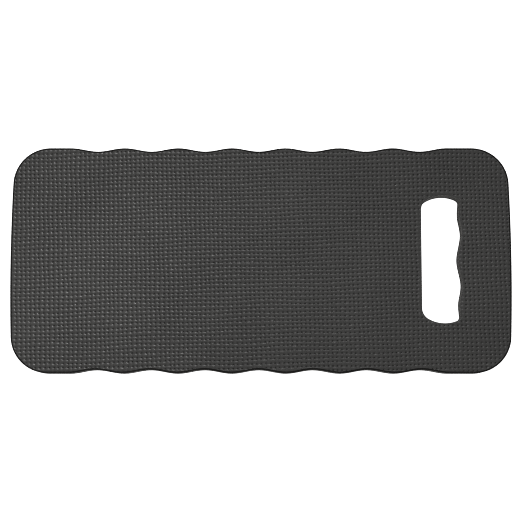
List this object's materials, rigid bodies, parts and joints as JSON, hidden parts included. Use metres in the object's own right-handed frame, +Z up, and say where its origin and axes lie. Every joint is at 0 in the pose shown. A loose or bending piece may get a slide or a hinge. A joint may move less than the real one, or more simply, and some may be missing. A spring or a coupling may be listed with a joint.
{
  "type": "kneeling pad",
  "caption": "Flat foam kneeling pad with waved long edges, a woven emboss and a finger-shaped hand opening at one end.",
  "frame": {"origin": "middle of the pad's bounding box, on the surface that it lies on", "axes": "+X along the pad's length, towards the hand opening; +Y across the pad; +Z up, out of the kneeling face"},
  "size_m": [0.45, 0.2034, 0.019],
  "materials": {
    "foam": "matte",
    "adhesive": "satin"
  },
  "bodies": {
    "root": {"top_ply": "foam", "glue_film": "adhesive", "bottom_ply": "foam"}
  },
  "joints": []
}
